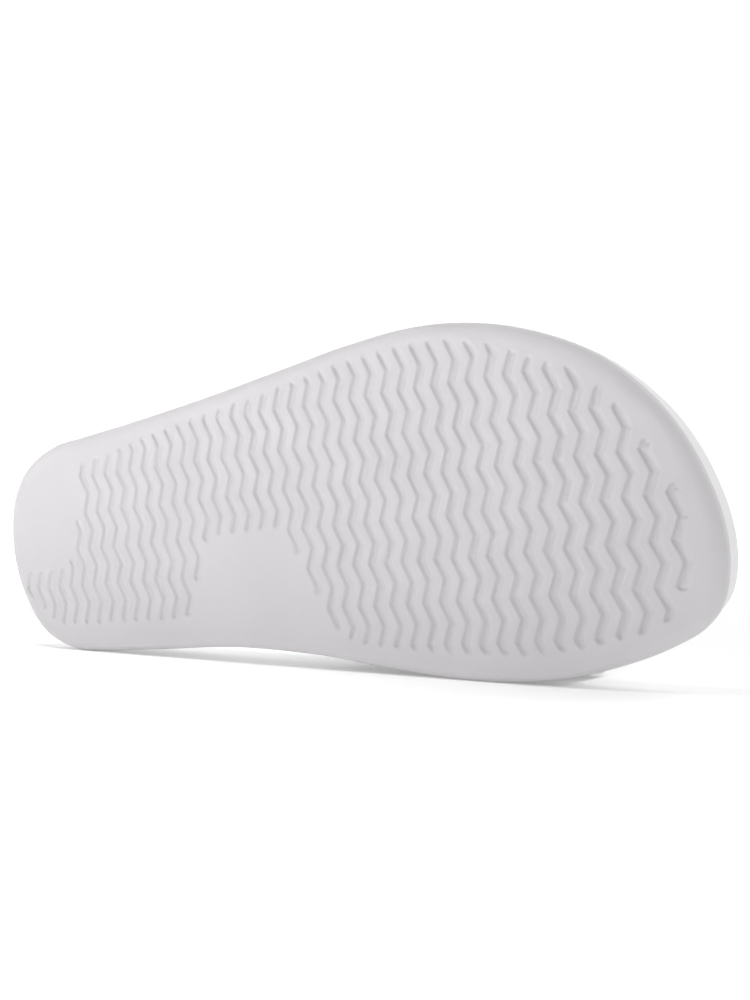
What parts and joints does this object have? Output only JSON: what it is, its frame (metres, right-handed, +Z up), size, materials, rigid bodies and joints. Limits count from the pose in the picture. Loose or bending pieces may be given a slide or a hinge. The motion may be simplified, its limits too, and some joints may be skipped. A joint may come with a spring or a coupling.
{
  "type": "sport slide sandal",
  "caption": "Open-backed sport slide sandal: a dished foam footbed on a curved sole with zigzag tread, and one broad padded strap over the forefoot.",
  "frame": {"origin": "centre of the bounding box's lower face, on the floor that the shoe lies on", "axes": "+X from heel to toe along the floor, +Z up from the floor, +Y towards the foot side. The shoe lies on its medial side, so the tread faces -Y, tipped down by about 5 degrees, and the shoe's lateral side is up"},
  "size_m": [0.2804, 0.0902, 0.1016],
  "materials": {
    "outsole": "matt moulded foam rubber, pale warm grey",
    "footbed": "matt moulded foam, light grey",
    "strap": "coated synthetic leather over foam padding, light grey"
  },
  "bodies": {
    "root": {"outsole": "outsole", "footbed": "footbed", "strap": "strap"}
  },
  "joints": []
}
